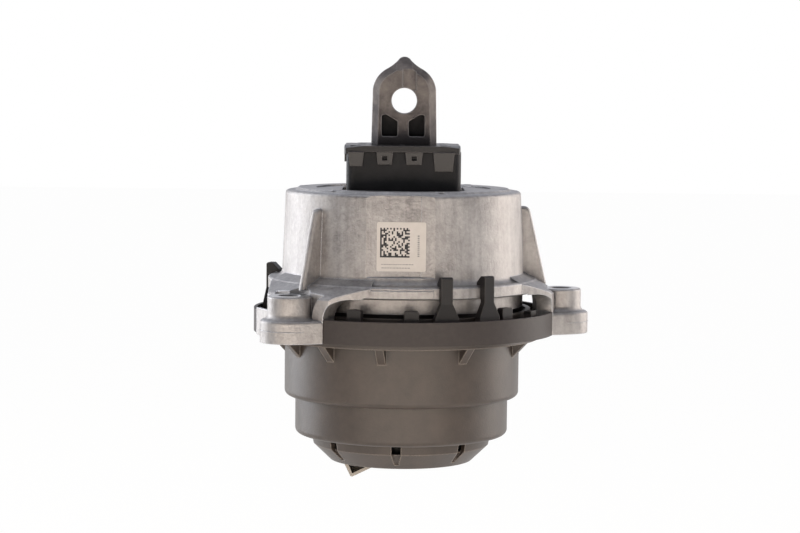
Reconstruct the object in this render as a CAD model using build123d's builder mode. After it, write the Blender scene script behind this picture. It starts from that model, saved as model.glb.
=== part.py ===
from build123d import *
import os
from math import atan, cos, degrees, radians, sin, sqrt

# Hydraulic engine mount, millimetres. The origin is the centre of the arm's bolt bore.
# +Z points up along the axis of the mount, and the bore runs along Y.
# Azimuths are counted from -Y towards +X, seen from above.

# Clearances and small gaps
fit_gap = 0.1
slip_gap = 0.3

# Arm, the die-cast lug that the engine bracket is bolted to
bore_radius = 5.5
arm_width = 27.1
arm_root_width = 28.1
arm_thickness = 20.0
tip_rise = 18.9
tip_half_width = 2.8
tip_crown = 1.6
flank_rise = 13.4
flank_half_width = 8.0
shoulder_rise = 5.0
shoulder_point = (12.0, 9.4)
flank_point = (5.0, 15.3)
arm_bevel = 2.8
tip_bevel_rise = 12.9
tip_thickness = 11.0
pocket_width = 6.8
pocket_height = 9.2
pocket_depth = 7.0
pocket_places = (-6.2, 5.4)
pocket_drop = 10.6
pocket_round = 0.9
strip_recess = 0.5
strip_recess_width = 5.7
strip_recess_offset = 2.2

# Bonded core cone at the foot of the arm
core_top_radius = 21.0
core_low_radius = 14.5
core_collar_height = 4.0
core_height = 20.0

# Travel-stop block and its cap
cap_top_drop = 18.9
cap_side_overhang = 0.3
cap_front_overhang = 2.5
cap_shift = -0.6
cap_plate = 2.6
cap_crown = 2.2
cap_slope = 0.15
cap_bow = 2.4
cap_corner = 2.2
cap_edge_break = 0.7
tab_plate = 2.0
tab_shares = (-0.414, -0.165, 0.09, 0.349)
tab_widths = (6.6, 7.0, 7.4, 9.1)
tab_heights = (6.0, 5.2, 5.2, 8.0)
tab_window = (2.2, 1.8)
tab_draft = 6.0
cap_pocket_depth = 1.4
cap_pocket_shares = (-0.418, -0.152, 0.099, 0.364)
cap_pocket_widths = (4.6, 4.0, 4.0, 4.6)
cap_pocket_length = 4.0
cap_pocket_inset = 1.6
block_width = 48.6
block_depth = 51.0
block_corner = 3.5
block_height = 20.5
block_foot_round = 2.0

# Housing, the die-cast cylinder with a rim and three feet
rim_drop = 37.5
bore_wall_radius = 47.5
housing_wall = 3.4
housing_draft = 1.3
housing_height = 50.3
lip_width = 9.7
collar_width = 7.7
collar_step = 1.1
rim_round = 1.5
lip_height = 7.5
lip_recess = 0.7
window_gap = 2.0
window_corner = 6.0
facet_width = 28.8
facet_turn = -1.2
flange_reach = 6.1
flange_drop = 38.5
flange_thickness = 5.3
flange_fillet = 3.4
edge_break = 0.6

# Feet, the bolt pads that stand on the carrier
foot_azimuths = (-43.0, 90.0, 203.5)
bolt_offset = 2.3
bolt_hole_radius = 4.5
feet_drop = 62.1
boss_radius = 9.1
boss_height = 19.2
boss_fillet = 2.3
pad_radius = 12.2
pad_height = 9.4
pad_round = 1.2
leg_gap = 1.3
leg_wall = 6.6
shoulder_half_width = 30.0
shoulder_end_width = 18.0
leg_half_width = 15.4
arch_round = 8.4
web_thickness = 5.3
valley_depth = 3.7
curb_height = 11.6
curb_wall = 1.5
curb_turn = 13.0
rib_thickness = 3.2
rib_round = 3.0
rib_top_reach = 3.7
rib_foot_reach = 10.2
rib_top_drop = 7.5

# Rubber spring and its outer sleeve
sleeve_wall = 2.6
sleeve_height = 21.0
spring_drop = 5.0
spring_hollow = 5.5
spring_foot_width = 4.0

# Nozzle plate, idle membrane and cover plate
plate_thickness = 7.0
cover_thickness = 5.0
channel_radius = 37.0
channel_width = 6.0
channel_depth = 4.2
channel_turn = 300.0
membrane_radius = 24.0
membrane_thickness = 2.4
grid_slot_width = 3.0
grid_slot_pitch = 7.8
grid_slot_count = 5
air_chamber_radius = 20.0
air_chamber_depth = 1.2
vent_radius = 2.6

# Bellows and its clamping ring
bellows_wall = 1.6
bellows_bead = 3.2
bellows_bead_width = 4.0
bellows_depth = 14.0
ring_height = 3.0
ring_width = 2.8

# Clip ring that fills the arches and hooks over the rim
skirt_setbacks = (0.0, 1.8, 1.8)
skirt_wall = 1.5
skirt_height = 9.9
ring_floor = 2.0
post_width = 6.0
post_height = 14.2
post_radial = 3.2
post_azimuths = (-18.9, 3.6, 45.5)
low_post_azimuth = 64.8
low_post_drop = 2.6
post_round = 0.8
clip_width = 4.9
clip_base_width = 10.2
front_clip_turns = (-6.1, 12.4)
side_clip_turns = (-21.75, -5.25)
clip_leg = 2.8
clip_foot = 4.2
hook_rise = 4.3
hook_reach = 2.9
hook_lip = 1.2

# Pot, the moulded cover under the mount
pot_flange = 2.0
pot_wall = 2.5
pot_step_out = 3.6
pot_step_in = 4.7
pot_base_in = 7.2
pot_foot_in = 8.0
pot_foot_draft = 0.8
pot_drop = 27.6
pot_step_drop = 16.7
pot_base_drop = 11.4
pot_round = 2.2
spigot_wall = 2.6
collar_gap = 1.2
collar_wall = 2.3
collar_height = 10.7
gusset_width = 3.7
gusset_height = 7.0
gusset_reach = 6.6
gusset_azimuths = (-60, -36, -9.5, 30, 70, 105, 138, 172, 206, 240, 270)
slot_count = 8
slot_azimuth = -3.0
slot_width = 3.9
slot_height = 4.0
slot_lip = 0.5
groove_height = 4.8
groove_foot_width = 1.6
groove_wall = 0.4
cradle_gap = 1.4
cradle_wall = 5.2
cradle_height = 6.1

# Switching solenoid in the pot
yoke_radius = 21.0
yoke_wall = 2.4
yoke_height = 30.0
yoke_flange_overhang = 1.4
bobbin_bore_radius = 7.2
bobbin_wall = 1.4
winding_gap = 0.6
pole_height = 8.6
guide_wall = 1.2
guide_flange_radius = 11.0
guide_flange = 1.8
plunger_radius = 5.6
plunger_length = 30.0
plunger_travel = 1.5
plunger_stop_gap = 0.2
plunger_shoulder = 1.5
stem_radius = 2.2
seat_gap = 0.1
tip_pad_radius = 4.6
tip_pad_thickness = 2.0
recess_radius = 4.2
recess_depth = 6.0
spring_wire = 0.8
spring_radius = 3.2
spring_turns = 4
screw_radius = 2.0
screw_head_radius = 3.4
screw_head = 2.2
screw_length = 6.0
screw_azimuths = (16.0, 136.0, 256.0)
thread_gap = 0.05

# Connector socket under the pot
socket_width = 13.0
socket_height = 9.4
socket_wall = 1.3
socket_depth = 14.0
socket_back = 1.5
socket_roll = 26.0
socket_x = -17.6
socket_front_y = -15.0
socket_rise = 0.6
pin_width = 1.6
pin_thickness = 0.8
pin_length = 7.0
pin_spacing = 4.4

# Code label on the front facet
label_size = 20.4
label_thickness = 0.15
label_drop = 59.8
label_offset = 0.4
label_round = 0.8

# Radii and widths that follow from the sizes above
housing_radius = bore_wall_radius + housing_wall
housing_low_radius = housing_radius + housing_draft
opening_radius = bore_wall_radius - lip_width
flange_radius = housing_low_radius + flange_reach
leg_bore_radius = flange_radius + leg_gap
leg_radius = leg_bore_radius + leg_wall
bolt_circle_radius = leg_radius + bolt_offset
rib_top_radius = housing_radius + rib_top_reach
rib_foot_radius = housing_low_radius + rib_foot_reach
sleeve_radius = bore_wall_radius - fit_gap
sleeve_bore = sleeve_radius - sleeve_wall
spigot_radius = bore_wall_radius - 2 * fit_gap
collar_radius = housing_low_radius + collar_gap
collar_outer_radius = collar_radius + collar_wall
ring_inner_radius = collar_outer_radius + slip_gap
ring_leg_radius = leg_bore_radius - slip_gap
post_inner_radius = flange_radius + fit_gap
clip_inner_radius = flange_radius + slip_gap
pot_flange_radius = leg_bore_radius - 2 * fit_gap
pot_radius = spigot_radius + pot_step_out
pot_step_radius = pot_radius - pot_step_in
pot_base_radius = pot_step_radius - pot_base_in
pot_foot_radius = pot_base_radius - pot_foot_in
cradle_radius = yoke_radius + cradle_gap
screw_circle_radius = cradle_radius + cradle_wall / 2
yoke_flange_radius = cradle_radius + cradle_wall + yoke_flange_overhang
cap_width = block_width + 2 * cap_side_overhang
cap_depth = block_depth + 2 * cap_front_overhang
crown_radius = (cap_width**2 / 4 + cap_crown**2) / 2 / cap_crown
guide_radius = bobbin_bore_radius - fit_gap
guide_bore = guide_radius - guide_wall

# Heights that follow from the sizes above
rim_z = -rim_drop
cap_z = -cap_top_drop
block_top_z = cap_z - cap_plate
block_foot_z = block_top_z - block_height
skirt_foot_z = rim_z - housing_height
flange_top_z = rim_z - flange_drop
flange_low_z = flange_top_z - flange_thickness
feet_z = rim_z - feet_drop
lip_z = rim_z - lip_height
sleeve_foot_z = lip_z - sleeve_height
plate_foot_z = sleeve_foot_z - plate_thickness
cover_foot_z = plate_foot_z - cover_thickness
bead_foot_z = cover_foot_z - bellows_bead
ring_foot_z = bead_foot_z - ring_height
pot_rim_z = feet_z - slip_gap
pot_step_z = pot_rim_z - pot_drop
pot_base_z = pot_step_z - pot_step_drop
pot_foot_z = pot_base_z - pot_base_drop
pot_floor_z = pot_foot_z + pot_wall
skirt_top_z = feet_z + skirt_height
core_top_z = block_foot_z
core_foot_z = core_top_z - core_height
yoke_foot_z = pot_floor_z + cradle_height
yoke_floor_z = yoke_foot_z + yoke_wall
yoke_top_z = yoke_foot_z + yoke_height
washer_foot_z = yoke_top_z - yoke_wall
pole_top_z = yoke_floor_z + pole_height
plunger_foot_z = pole_top_z + plunger_travel + plunger_stop_gap
plunger_top_z = plunger_foot_z + plunger_length
tip_top_z = cover_foot_z - seat_gap
tip_foot_z = tip_top_z - tip_pad_thickness
socket_z = pot_foot_z + socket_rise
lip_top_z = rim_z - lip_recess
facet_foot_z = flange_top_z + flange_fillet
facet_top_y = -sqrt(housing_radius**2 - facet_width**2 / 4)
facet_foot_y = -sqrt(housing_low_radius**2 - facet_width**2 / 4)
facet_tilt = atan((facet_top_y - facet_foot_y) / (rim_z - facet_foot_z))
arch_spans = []
for index, start in enumerate(foot_azimuths):
    following = foot_azimuths[(index + 1) % len(foot_azimuths)]
    arch_spans.append((start + (following - start) % 360 / 2, (following - start) % 360 / 2))


def around(azimuth):
    """Turn about Z that carries +X to an azimuth counted from -Y."""
    return Rot(0, 0, azimuth - 90)


def upright(azimuth):
    """Vertical plane through Z whose local x axis points to an azimuth."""
    return Plane.XZ.rotated((0, 0, azimuth - 90))


def ring_edges(part, radius, height):
    """Circular edges of a turned part at one radius and height."""
    circles = part.edges().filter_by(GeomType.CIRCLE)
    return circles.filter_by(lambda edge: abs(edge.radius - radius) + abs(edge.center().Z - height) < 0.05)


def save(part, name):
    """Name a finished piece and write it as its own STEP file."""
    part.label = name
    export_step(part, f"parts/{name}.step")


os.makedirs("parts", exist_ok=True)

# Arm with its core: one aluminium casting, pointed at the top, bevelled all round
with BuildPart() as core_arm:
    arm_root_z = core_top_z - core_collar_height
    with BuildSketch(Plane.XZ) as arm_face:
        with BuildLine():
            Line((0, arm_root_z), (arm_root_width / 2, arm_root_z))
            Line((arm_root_width / 2, arm_root_z), (arm_root_width / 2, cap_z))
            Line((arm_root_width / 2, cap_z), (arm_width / 2, shoulder_rise))
            ThreePointArc((arm_width / 2, shoulder_rise), shoulder_point, (flank_half_width, flank_rise))
            ThreePointArc((flank_half_width, flank_rise), flank_point, (tip_half_width, tip_rise - tip_crown))
            mirror(about=Plane.YZ)
            ThreePointArc(
                (tip_half_width, tip_rise - tip_crown),
                (0, tip_rise),
                (-tip_half_width, tip_rise - tip_crown),
            )
        make_face()
    plain_half = arm_thickness / 2 - arm_bevel
    extrude(amount=plain_half, both=True)
    extrude(arm_face.sketch.moved(Location((0, -plain_half, 0))), amount=arm_bevel, taper=45)
    extrude(arm_face.sketch.moved(Location((0, plain_half, 0))), amount=-arm_bevel, taper=45)
    with BuildSketch(Plane.XZ) as core_half:
        with BuildLine():
            Polyline(
                (0, core_top_z),
                (core_top_radius, core_top_z),
                (core_top_radius, core_top_z - core_collar_height),
                (core_low_radius, core_foot_z),
                (0, core_foot_z),
                close=True,
            )
        make_face()
    revolve(axis=Axis.Z)
    with BuildSketch(Plane.XZ) as bolt_bore:
        Circle(bore_radius)
    extrude(amount=arm_thickness, both=True, mode=Mode.SUBTRACT)
    for side in (-1, 1):
        with BuildSketch(Plane.YZ):
            Polygon(
                (side * arm_thickness / 2, tip_bevel_rise),
                (side * tip_thickness / 2, tip_rise),
                (side * tip_thickness / 2, tip_rise + tip_crown),
                (side * arm_thickness, tip_rise + tip_crown),
                (side * arm_thickness, tip_bevel_rise),
                align=None,
            )
        extrude(amount=arm_width, both=True, mode=Mode.SUBTRACT)
        with BuildSketch(Plane.XZ.offset(side * (arm_thickness / 2 - pocket_depth))) as pockets:
            for place in pocket_places:
                hand = 1 if place > 0 else -1
                with BuildLine():
                    Polyline(
                        (place - hand * pocket_width / 2, -pocket_drop - pocket_height / 2),
                        (place + hand * pocket_width / 2, -pocket_drop - pocket_height / 2),
                        (place + hand * pocket_width / 2, -pocket_drop + pocket_height / 2),
                        (place + hand * pocket_width / 5, -pocket_drop + pocket_height / 2),
                        (place - hand * pocket_width / 2, -pocket_drop + pocket_height / 5),
                        close=True,
                    )
                make_face()
            fillet(pockets.vertices(), pocket_round)
        extrude(amount=side * pocket_depth * 1.5, mode=Mode.SUBTRACT)
    with BuildSketch(Plane.XZ.offset(arm_thickness / 2 - strip_recess)) as strip:
        with Locations((strip_recess_offset, (flank_rise + bore_radius) / 2)):
            Rectangle(strip_recess_width, flank_rise - bore_radius + 2)
    extrude(amount=arm_bevel, mode=Mode.SUBTRACT)
save(core_arm.part, "core_arm")

# Travel-stop block: rubber moulded round the arm, dipping into the housing's opening
with BuildPart() as stop_block:
    with BuildSketch(Plane.XY.offset(block_foot_z)):
        RectangleRounded(block_width, block_depth, block_corner)
    extrude(amount=block_height)
    fillet(stop_block.edges().group_by(Axis.Z)[0], block_foot_round)
    with BuildSketch(Plane.XY.offset(block_foot_z)) as arm_slot:
        Rectangle(arm_root_width + 2 * fit_gap, arm_thickness + 2 * fit_gap)
        chamfer(arm_slot.vertices(), arm_bevel)
    extrude(amount=block_height, mode=Mode.SUBTRACT)
save(stop_block.part, "stop_block")

# Cap of the travel stop: plate with pockets and hanging tabs, both ends bowed and falling
# away to the corners, where a lip hangs down outside the rubber
with BuildPart() as stop_cap:
    with BuildSketch(Plane.XY.offset(block_top_z)) as cap_outline:
        with BuildLine():
            half = cap_width / 2
            side_y = cap_depth / 2 - cap_bow
            Line((cap_shift - half, -side_y), (cap_shift - half, side_y))
            left = cap_shift - half
            right = cap_shift + half
            ThreePointArc((left, side_y), (cap_shift, cap_depth / 2), (right, side_y))
            Line((right, side_y), (right, -side_y))
            ThreePointArc((right, -side_y), (cap_shift, -cap_depth / 2), (left, -side_y))
        make_face()
        fillet(cap_outline.vertices(), cap_corner)
    extrude(amount=cap_plate)
    with BuildSketch(Plane.XY.offset(block_top_z)):
        add(cap_outline.sketch)
        rubber_width = block_width + 2 * fit_gap
        RectangleRounded(rubber_width, block_depth + 2 * fit_gap, block_corner, mode=Mode.SUBTRACT)
    lip = extrude(amount=-2 * cap_crown, mode=Mode.PRIVATE)
    crown_z = cap_z - cap_edge_break + cap_slope * cap_depth / 2 - crown_radius
    crown_cuts = []
    for end in (-1, 1):
        crown_plane = Plane(origin=(0, 0, crown_z), x_dir=(-end, 0, 0), z_dir=(0, end, -cap_slope))
        with BuildSketch(crown_plane) as above_crown:
            with Locations((0, crown_radius)):
                Rectangle(2 * cap_width, 6 * cap_crown)
            Circle(crown_radius, mode=Mode.SUBTRACT)
        with BuildSketch(crown_plane) as below_crown:
            Circle(crown_radius - cap_plate)
        crown_cuts.append(extrude(above_crown.sketch, amount=cap_depth, mode=Mode.PRIVATE))
        lip = lip - extrude(below_crown.sketch, amount=cap_depth, mode=Mode.PRIVATE)
    add(lip)
    for cut in crown_cuts:
        add(cut, mode=Mode.SUBTRACT)
    with BuildSketch(Plane.XY.offset(cap_z)) as cap_pockets:
        for end in (-1, 1):
            for share, width in zip(cap_pocket_shares, cap_pocket_widths):
                pocket_y = end * (cap_depth / 2 - cap_bow - cap_pocket_inset - cap_pocket_length / 2)
                with Locations((share * block_width, pocket_y)):
                    Rectangle(width, cap_pocket_length)
    extrude(amount=-cap_pocket_depth, mode=Mode.SUBTRACT)
    for end in (-1, 1):
        tab_y = end * (block_depth / 2 + fit_gap + tab_plate / 2)
        for share, width, height in zip(tab_shares, tab_widths, tab_heights):
            with BuildSketch(Plane.XY.offset(block_top_z)):
                with Locations((share * block_width, tab_y)):
                    Rectangle(width, tab_plate)
            extrude(amount=-height, taper=tab_draft)
        for share in tab_shares[1:3]:
            with BuildSketch(Plane.XZ.offset(-tab_y)):
                with Locations((share * block_width, block_top_z - tab_heights[1] / 2)):
                    Rectangle(*tab_window)
            extrude(amount=tab_plate, both=True, mode=Mode.SUBTRACT)
    with BuildSketch(Plane.XY.offset(cap_z)) as cap_slot:
        Rectangle(arm_root_width + 2 * fit_gap, arm_thickness + 2 * fit_gap)
        chamfer(cap_slot.vertices(), arm_bevel)
    extrude(amount=-2 * cap_plate, mode=Mode.SUBTRACT)
save(stop_cap.part, "stop_cap")

# One foot, drawn along +X: shoulder, hollow leg with arch corners, pad, boss, hole and rib
with BuildPart() as foot:
    shoulder_z = feet_z + boss_height
    with BuildSketch(Plane.XZ):
        Polygon(
            (housing_low_radius - 1, flange_top_z + flange_fillet - 0.5),
            (flange_radius, flange_top_z - edge_break),
            (leg_radius - 1.2, shoulder_z),
            (leg_radius, shoulder_z - 1.2),
            (leg_radius, feet_z),
            (leg_bore_radius, feet_z),
            (leg_bore_radius, flange_low_z + edge_break),
            (housing_low_radius - 1, flange_low_z + edge_break),
            align=None,
        )
    revolve(axis=Axis.Z, revolution_arc=60)
    foot_ring = foot.part.rotate(Axis.Z, -30)
with BuildPart() as pad:
    leg_reach = sqrt(leg_radius**2 - leg_half_width**2)
    with BuildSketch(Plane.XY.offset(feet_z)):
        with BuildLine():
            CenterArc((bolt_circle_radius, 0), pad_radius, 0, 360)
            Line((leg_reach, -leg_half_width), (leg_reach, leg_half_width))
        make_hull()
    extrude(amount=pad_height)
    fillet(pad.edges().group_by(Axis.Z)[-1].sort_by(Axis.X)[1:], pad_round)
with BuildPart() as foot:
    add(foot_ring)
    with BuildSketch(Plane.XY.offset(feet_z)):
        rim_reach = sqrt(flange_radius**2 - shoulder_half_width**2)
        end_reach = sqrt(leg_radius**2 - shoulder_end_width**2)
        Polygon(
            (rim_reach / 2, -shoulder_half_width),
            (rim_reach, -shoulder_half_width),
            (end_reach, -shoulder_end_width),
            (2 * leg_radius, -shoulder_end_width),
            (2 * leg_radius, shoulder_end_width),
            (end_reach, shoulder_end_width),
            (rim_reach, shoulder_half_width),
            (rim_reach / 2, shoulder_half_width),
            align=None,
        )
        Circle(bore_wall_radius + fit_gap, mode=Mode.SUBTRACT)
    extrude(amount=feet_drop, mode=Mode.INTERSECT)
    for hand in (-1, 1):
        with BuildSketch(Plane.YZ) as arch:
            with Locations((hand * (leg_half_width + leg_radius / 2), flange_low_z - leg_radius / 2)):
                Rectangle(leg_radius, leg_radius)
            fillet(arch.vertices().group_by(Axis.Y)[-1].sort_by(Axis.X)[0 if hand > 0 else -1], arch_round)
        extrude(amount=2 * leg_radius, mode=Mode.SUBTRACT)
    web_y = leg_half_width + arch_round
    web_z = flange_low_z - arch_round
    with BuildSketch(Plane.YZ.offset(leg_radius - valley_depth)):
        with Locations((0, web_z + 2 * web_y)):
            Rectangle(2 * web_y, 4 * web_y)
        with Locations((-web_y, web_z), (web_y, web_z)):
            Circle(arch_round + web_thickness, mode=Mode.SUBTRACT)
    extrude(amount=leg_radius, mode=Mode.SUBTRACT)
    add(pad.part)
    with BuildSketch(Plane.XZ):
        with BuildLine():
            boss_edge = bolt_circle_radius + boss_radius
            pad_top_z = feet_z + pad_height
            Line((bolt_circle_radius, feet_z + 1), (bolt_circle_radius, shoulder_z))
            Line((bolt_circle_radius, shoulder_z), (boss_edge - edge_break, shoulder_z))
            Line((boss_edge - edge_break, shoulder_z), (boss_edge, shoulder_z - edge_break))
            Line((boss_edge, shoulder_z - edge_break), (boss_edge, pad_top_z + boss_fillet))
            fillet_edge = boss_edge + boss_fillet
            RadiusArc((boss_edge, pad_top_z + boss_fillet), (fillet_edge, pad_top_z), -boss_fillet)
            Line((boss_edge + boss_fillet, pad_top_z), (boss_edge + boss_fillet, feet_z + 1))
            Line((boss_edge + boss_fillet, feet_z + 1), (bolt_circle_radius, feet_z + 1))
        make_face()
    revolve(axis=Axis((bolt_circle_radius, 0, 0), (0, 0, 1)))
    with BuildSketch(Plane.XY.offset(feet_z)):
        Circle(leg_bore_radius)
    extrude(amount=flange_low_z + edge_break - feet_z, mode=Mode.SUBTRACT)
    with Locations((bolt_circle_radius, 0, shoulder_z + boss_height / 2)):
        Cylinder(boss_radius - edge_break, boss_height, mode=Mode.SUBTRACT)
    with Locations((bolt_circle_radius, 0, feet_z + boss_height / 2)):
        Cylinder(bolt_hole_radius, 2 * boss_height, mode=Mode.SUBTRACT)

# Rib above a foot, with its outer edge rounded
with BuildPart() as rib:
    with BuildSketch(Plane.XZ) as rib_outline:
        Polygon(
            (bore_wall_radius + fit_gap, rim_z - rib_top_drop),
            (rib_top_radius, rim_z - rib_top_drop),
            (rib_foot_radius, flange_top_z - flange_thickness / 2),
            (bore_wall_radius + fit_gap, flange_top_z - flange_thickness / 2),
            align=None,
        )
        fillet(rib_outline.vertices().group_by(Axis.Y)[-1].sort_by(Axis.X)[-1], rib_round)
    extrude(amount=rib_thickness / 2, both=True)
    long_edges = rib.edges().filter_by(lambda edge: edge.length > 20 and edge.center().X > rib_top_radius)
    fillet(long_edges, rib_thickness * 0.42)

# Housing: one die casting, a drafted cylinder with an inward lip, a rim and three feet
with BuildPart() as housing:
    with BuildSketch(Plane.XZ):
        with BuildLine():
            collar_edge = opening_radius + collar_width
            Polyline(
                (housing_low_radius, flange_top_z + flange_fillet),
                (housing_radius, rim_z - collar_step),
                (collar_edge + collar_step, rim_z - collar_step),
                (collar_edge, rim_z),
                (opening_radius, rim_z),
                (opening_radius, lip_top_z),
                (0, lip_top_z),
                (0, lip_z),
                (bore_wall_radius, lip_z),
                (bore_wall_radius, skirt_foot_z),
                (housing_low_radius, skirt_foot_z),
                (housing_low_radius, flange_low_z),
                (flange_radius - edge_break, flange_low_z),
                (flange_radius, flange_low_z + edge_break),
                (flange_radius, flange_top_z - edge_break),
                (flange_radius - edge_break, flange_top_z),
                (housing_low_radius + flange_fillet, flange_top_z),
            )
            RadiusArc(
                (housing_low_radius + flange_fillet, flange_top_z),
                (housing_low_radius, flange_top_z + flange_fillet),
                flange_fillet,
            )
        make_face()
    revolve(axis=Axis.Z)
    rim_edges = housing.edges().filter_by(GeomType.CIRCLE)
    rim_edges = rim_edges.filter_by_position(Axis.Z, rim_z - collar_step - 0.01, rim_z - collar_step + 0.01)
    fillet(rim_edges.sort_by(SortBy.RADIUS)[-1], rim_round)
    with BuildSketch(Plane.YZ) as facet:
        Polygon(
            (facet_foot_y, facet_foot_z),
            (facet_top_y, rim_z),
            (2 * facet_foot_y, rim_z),
            (2 * facet_foot_y, facet_foot_z),
            align=None,
        )
    facet_body = extrude(facet.sketch, amount=facet_width, both=True, mode=Mode.PRIVATE)
    add(Rot(0, 0, facet_turn) * facet_body, mode=Mode.SUBTRACT)
    for azimuth in foot_azimuths:
        add(around(azimuth) * rib.part)
        add(around(azimuth) * foot.part)
    with BuildSketch(Plane.XY.offset(lip_z)):
        RectangleRounded(block_width + 2 * window_gap, block_depth + 2 * window_gap, window_corner)
    extrude(amount=lip_height, mode=Mode.SUBTRACT)
    curb_start = foot_azimuths[0] - degrees(leg_half_width / leg_radius) - curb_turn
    with BuildSketch(upright(curb_start)):
        with Locations((leg_radius - curb_wall / 2, feet_z + curb_height / 2)):
            Rectangle(curb_wall, curb_height)
    revolve(axis=Axis.Z, revolution_arc=curb_turn + 2)
save(housing.part, "housing")

# Spring sleeve: drawn steel ring pressed into the housing, the rubber is bonded to its bore
with BuildPart() as spring_sleeve:
    with BuildSketch(Plane.XZ):
        with Locations(((sleeve_bore + sleeve_radius) / 2, (lip_z + sleeve_foot_z) / 2)):
            Rectangle(sleeve_wall, sleeve_height)
    revolve(axis=Axis.Z)
save(spring_sleeve.part, "spring_sleeve")

# Main spring: rubber cone between the core and the sleeve, hollow underneath for the fluid
with BuildPart() as main_spring:
    with BuildSketch(Plane.XZ):
        with BuildLine():
            Polyline(
                (core_low_radius, core_foot_z),
                (core_top_radius, core_top_z - core_collar_height),
                (sleeve_bore, lip_z - spring_drop),
                (sleeve_bore, sleeve_foot_z),
                (sleeve_bore - spring_foot_width, sleeve_foot_z),
            )
            ThreePointArc(
                (sleeve_bore - spring_foot_width, sleeve_foot_z),
                ((sleeve_bore + core_low_radius) / 2, sleeve_foot_z + spring_hollow),
                (core_low_radius, core_foot_z),
            )
        make_face()
    revolve(axis=Axis.Z)
save(main_spring.part, "main_spring")

# Nozzle plate: casting with a ring channel underneath and a grid over the membrane
with BuildPart() as nozzle_plate:
    with Locations((0, 0, plate_foot_z + plate_thickness / 2)):
        Cylinder(sleeve_radius, plate_thickness)
    with Locations((0, 0, plate_foot_z + membrane_thickness / 2)):
        Cylinder(membrane_radius + fit_gap, membrane_thickness, mode=Mode.SUBTRACT)
    with BuildSketch(Plane.XY.offset(plate_foot_z)):
        for step in range(grid_slot_count):
            slot_x = (step - (grid_slot_count - 1) / 2) * grid_slot_pitch
            slot_length = 2 * sqrt((membrane_radius - grid_slot_width) ** 2 - slot_x**2)
            with Locations((slot_x, 0)):
                SlotOverall(slot_length, grid_slot_width, rotation=90)
    extrude(amount=plate_thickness, mode=Mode.SUBTRACT)
    with BuildSketch(Plane.XZ):
        with Locations((channel_radius, plate_foot_z + channel_depth / 2)):
            Rectangle(channel_width, channel_depth)
    revolve(axis=Axis.Z, revolution_arc=channel_turn, mode=Mode.SUBTRACT)
    with Locations((channel_radius, 0, plate_foot_z + plate_thickness / 2)):
        Cylinder(channel_width / 2, plate_thickness, mode=Mode.SUBTRACT)
save(nozzle_plate.part, "nozzle_plate")

# Idle membrane: rubber disc held between the grid and the cover
with BuildPart() as idle_membrane:
    with Locations((0, 0, plate_foot_z + membrane_thickness / 2)):
        Cylinder(membrane_radius, membrane_thickness)
    fillet(idle_membrane.edges(), membrane_thickness / 4)
save(idle_membrane.part, "idle_membrane")

# Nozzle cover: plate with the air chamber on top, its vent bore and the channel's outlet
with BuildPart() as nozzle_cover:
    with Locations((0, 0, cover_foot_z + cover_thickness / 2)):
        Cylinder(sleeve_radius, cover_thickness)
        Cylinder(vent_radius, cover_thickness, mode=Mode.SUBTRACT)
    with Locations((0, 0, plate_foot_z - air_chamber_depth / 2)):
        Cylinder(air_chamber_radius, air_chamber_depth, mode=Mode.SUBTRACT)
    outlet = Location((channel_radius, 0, cover_foot_z + cover_thickness / 2))
    with Locations(Rot(0, 0, channel_turn - 5) * outlet):
        Cylinder(channel_width / 2, cover_thickness, mode=Mode.SUBTRACT)
save(nozzle_cover.part, "nozzle_cover")

# Bellows: thin rubber roll that closes the lower fluid chamber, with a bead at each edge
with BuildPart() as bellows:
    inner_bead = guide_radius + fit_gap
    roll_inner = inner_bead + bellows_bead_width
    roll_outer = sleeve_radius - bellows_bead_width
    roll_middle = (roll_inner + roll_outer) / 2
    with BuildSketch(Plane.XZ):
        with BuildLine():
            Polyline(
                (roll_outer, bead_foot_z),
                (sleeve_radius, bead_foot_z),
                (sleeve_radius, cover_foot_z),
                (roll_outer - bellows_wall, cover_foot_z),
            )
            ThreePointArc(
                (roll_outer - bellows_wall, cover_foot_z),
                (roll_middle, bead_foot_z - bellows_depth + bellows_wall),
                (roll_inner + bellows_wall, cover_foot_z),
            )
            Polyline(
                (roll_inner + bellows_wall, cover_foot_z),
                (inner_bead, cover_foot_z),
                (inner_bead, bead_foot_z),
                (roll_inner, bead_foot_z),
            )
            ThreePointArc(
                (roll_inner, bead_foot_z),
                (roll_middle, bead_foot_z - bellows_depth),
                (roll_outer, bead_foot_z),
            )
        make_face()
    revolve(axis=Axis.Z)
save(bellows.part, "bellows")

# Bellows ring: steel ring that clamps the outer bead
with BuildPart() as bellows_ring:
    with BuildSketch(Plane.XZ):
        with Locations((sleeve_radius - ring_width / 2, (bead_foot_z + ring_foot_z) / 2)):
            Rectangle(ring_width, ring_height)
    revolve(axis=Axis.Z)
save(bellows_ring.part, "bellows_ring")

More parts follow.
